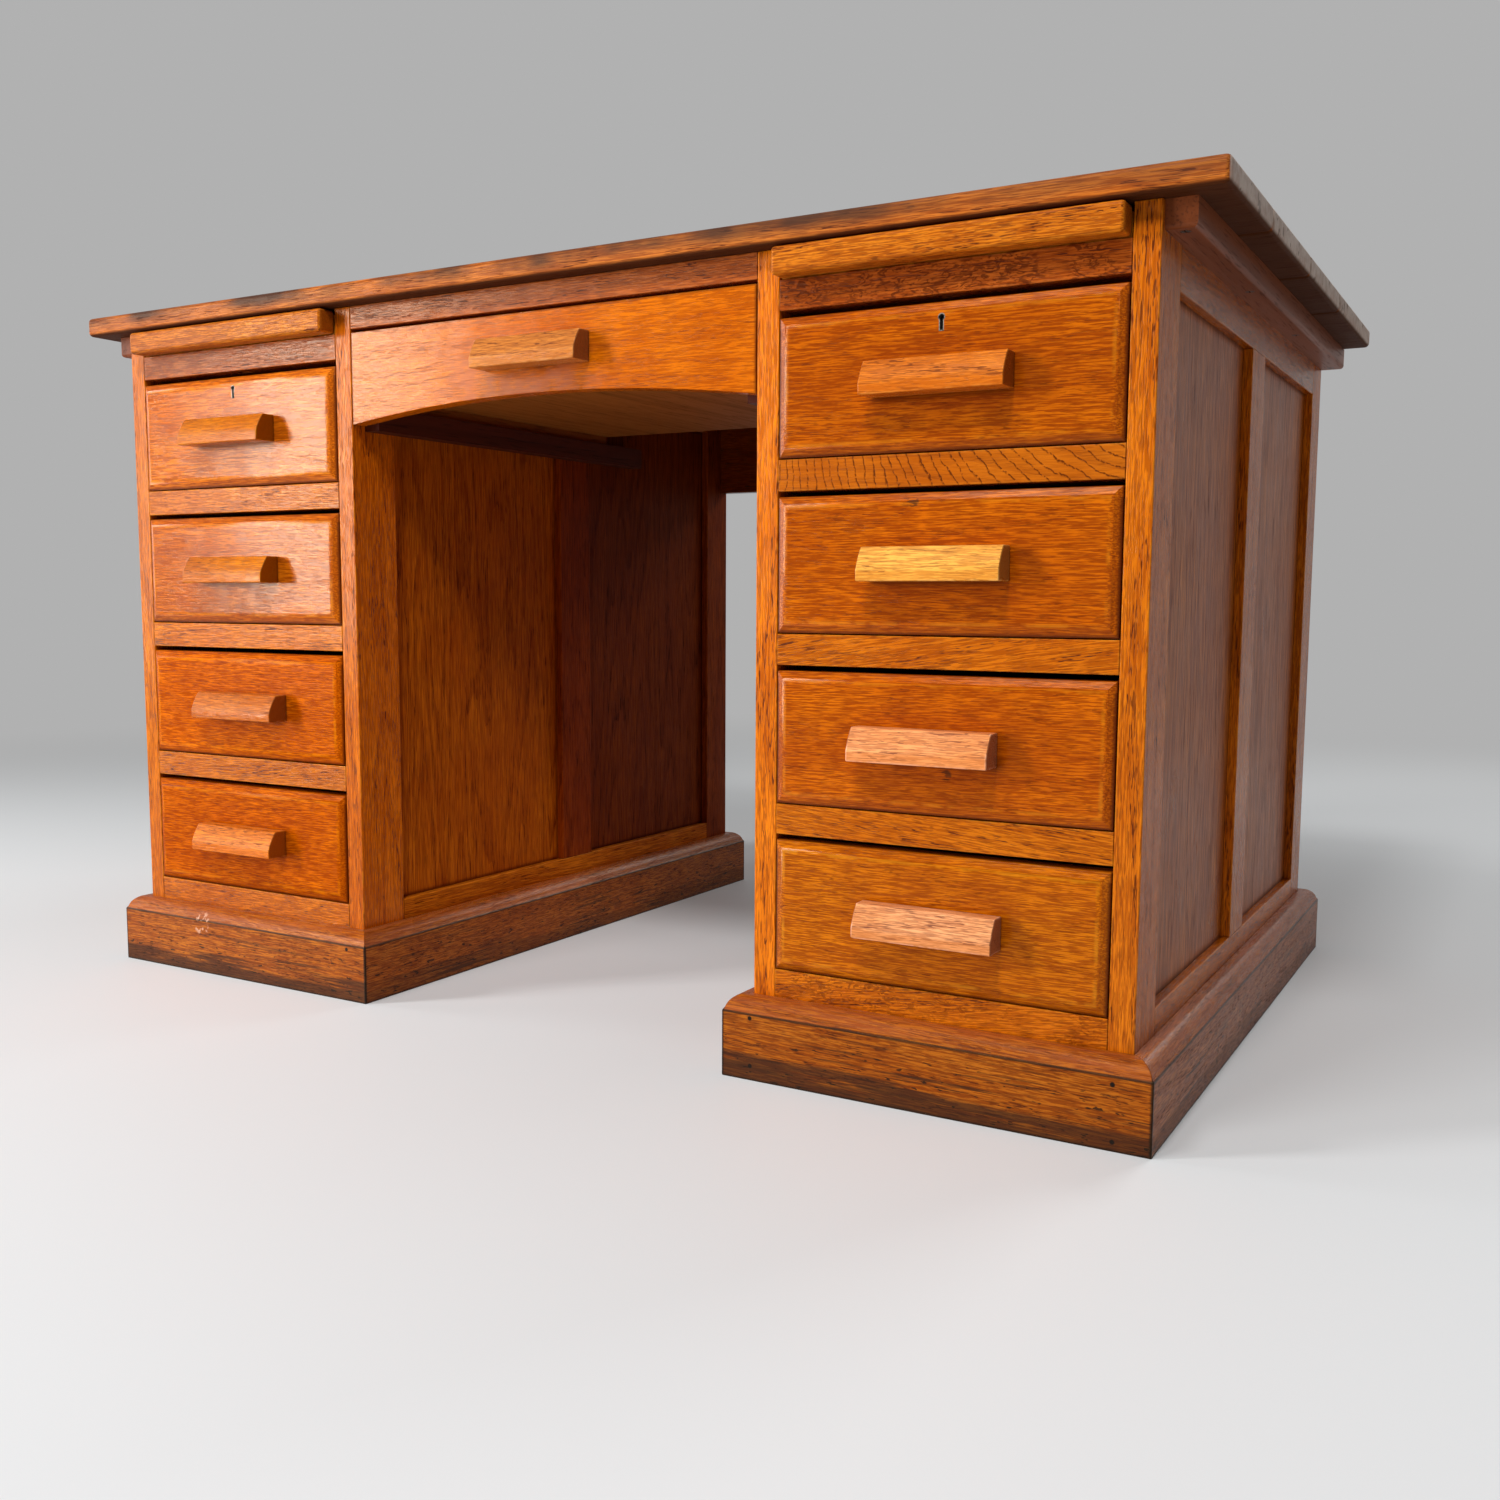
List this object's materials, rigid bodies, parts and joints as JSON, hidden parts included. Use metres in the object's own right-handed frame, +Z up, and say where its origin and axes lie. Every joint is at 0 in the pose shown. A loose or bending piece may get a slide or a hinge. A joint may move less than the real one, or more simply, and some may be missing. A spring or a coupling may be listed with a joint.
{
  "type": "pedestal desk",
  "caption": "Twin-pedestal oak desk with framed sides, moulded plinths, drawers with wooden pulls, an arched centre drawer and pull-out writing slides.",
  "frame": {"origin": "floor level under the middle of the desk's outline", "axes": "+X to the right of a person facing the drawers, +Y from the front to the back, +Z up"},
  "size_m": [1.3, 0.8184, 0.76],
  "materials": {
    "top_oak": "varnished oak with worn, stained edges",
    "frame_oak": "varnished golden oak",
    "front_oak": "glossy varnished oak",
    "panel_oak": "varnished oak",
    "plinth_oak": "varnished oak, scuffed dark at the floor",
    "pull_oak": "varnished oak, worn by hands",
    "slide_oak": "varnished oak",
    "drawer_wood": "plain unvarnished wood",
    "lock_brass": "dull brass",
    "screw_steel": "dull steel"
  },
  "bodies": {
    "carcass": {"desktop_boards": "top_oak", "desktop_cleats": "top_oak", "cleat_screws": "screw_steel", "kneehole_rails": "frame_oak", "centre_drawer_runners": "drawer_wood", "pedestal_backs": "panel_oak", "left_plinth": "plinth_oak", "left_outer_frame": "frame_oak", "left_inner_frame": "frame_oak", "left_side_panels": "panel_oak", "left_front_rails": "frame_oak", "left_runners_and_stops": "drawer_wood", "right_plinth": "plinth_oak", "right_outer_frame": "frame_oak", "right_inner_frame": "frame_oak", "right_side_panels": "panel_oak", "right_front_rails": "frame_oak", "right_runners_and_stops": "drawer_wood"},
    "left_slide": {"left_slide": "slide_oak"},
    "left_bottom_drawer": {"left_bottom_drawer_front": "front_oak", "left_bottom_drawer_box": "drawer_wood", "left_bottom_drawer_pull": "pull_oak", "left_bottom_drawer_pull_screws": "screw_steel"},
    "left_third_drawer": {"left_third_drawer_front": "front_oak", "left_third_drawer_box": "drawer_wood", "left_third_drawer_pull": "pull_oak", "left_third_drawer_pull_screws": "screw_steel"},
    "left_second_drawer": {"left_second_drawer_front": "front_oak", "left_second_drawer_box": "drawer_wood", "left_second_drawer_pull": "pull_oak", "left_second_drawer_pull_screws": "screw_steel"},
    "left_top_drawer": {"left_top_drawer_front": "front_oak", "left_top_drawer_box": "drawer_wood", "left_top_drawer_pull": "pull_oak", "left_top_drawer_pull_screws": "screw_steel", "left_lock_case": "lock_brass"},
    "left_lock_bolt": {"left_lock_bolt": "lock_brass"},
    "right_slide": {"right_slide": "slide_oak"},
    "right_bottom_drawer": {"right_bottom_drawer_front": "front_oak", "right_bottom_drawer_box": "drawer_wood", "right_bottom_drawer_pull": "pull_oak", "right_bottom_drawer_pull_screws": "screw_steel"},
    "right_third_drawer": {"right_third_drawer_front": "front_oak", "right_third_drawer_box": "drawer_wood", "right_third_drawer_pull": "pull_oak", "right_third_drawer_pull_screws": "screw_steel"},
    "right_second_drawer": {"right_second_drawer_front": "front_oak", "right_second_drawer_box": "drawer_wood", "right_second_drawer_pull": "pull_oak", "right_second_drawer_pull_screws": "screw_steel"},
    "right_top_drawer": {"right_top_drawer_front": "front_oak", "right_top_drawer_box": "drawer_wood", "right_top_drawer_pull": "pull_oak", "right_top_drawer_pull_screws": "screw_steel", "right_lock_case": "lock_brass"},
    "right_lock_bolt": {"right_lock_bolt": "lock_brass"},
    "centre_drawer": {"centre_drawer_front": "front_oak", "centre_drawer_box": "drawer_wood", "centre_drawer_pull": "pull_oak", "centre_drawer_pull_screws": "screw_steel"}
  },
  "joints": [
    {"name": "left_slide_pull", "type": "slide", "parent": "carcass", "child": "left_slide", "axis": [0, -1, 0], "range_m": [0, 0.33]},
    {"name": "left_bottom_drawer_pull_out", "type": "slide", "parent": "carcass", "child": "left_bottom_drawer", "axis": [0, -1, 0], "range_m": [0, 0.45]},
    {"name": "left_third_drawer_pull_out", "type": "slide", "parent": "carcass", "child": "left_third_drawer", "axis": [0, -1, 0], "range_m": [0, 0.45]},
    {"name": "left_second_drawer_pull_out", "type": "slide", "parent": "carcass", "child": "left_second_drawer", "axis": [0, -1, 0], "range_m": [0, 0.45]},
    {"name": "left_top_drawer_pull_out", "type": "slide", "parent": "carcass", "child": "left_top_drawer", "axis": [0, -1, 0], "range_m": [0, 0.45]},
    {"name": "left_lock_bolt_throw", "type": "slide", "parent": "left_top_drawer", "child": "left_lock_bolt", "axis": [0, 0, 1], "range_m": [0, 0.012]},
    {"name": "right_slide_pull", "type": "slide", "parent": "carcass", "child": "right_slide", "axis": [0, -1, 0], "range_m": [0, 0.33]},
    {"name": "right_bottom_drawer_pull_out", "type": "slide", "parent": "carcass", "child": "right_bottom_drawer", "axis": [0, -1, 0], "range_m": [0, 0.45]},
    {"name": "right_third_drawer_pull_out", "type": "slide", "parent": "carcass", "child": "right_third_drawer", "axis": [0, -1, 0], "range_m": [0, 0.45]},
    {"name": "right_second_drawer_pull_out", "type": "slide", "parent": "carcass", "child": "right_second_drawer", "axis": [0, -1, 0], "range_m": [0, 0.45]},
    {"name": "right_top_drawer_pull_out", "type": "slide", "parent": "carcass", "child": "right_top_drawer", "axis": [0, -1, 0], "range_m": [0, 0.45]},
    {"name": "right_lock_bolt_throw", "type": "slide", "parent": "right_top_drawer", "child": "right_lock_bolt", "axis": [0, 0, 1], "range_m": [0, 0.012]},
    {"name": "centre_drawer_pull_out", "type": "slide", "parent": "carcass", "child": "centre_drawer", "axis": [0, -1, 0], "range_m": [0, 0.28]}
  ]
}
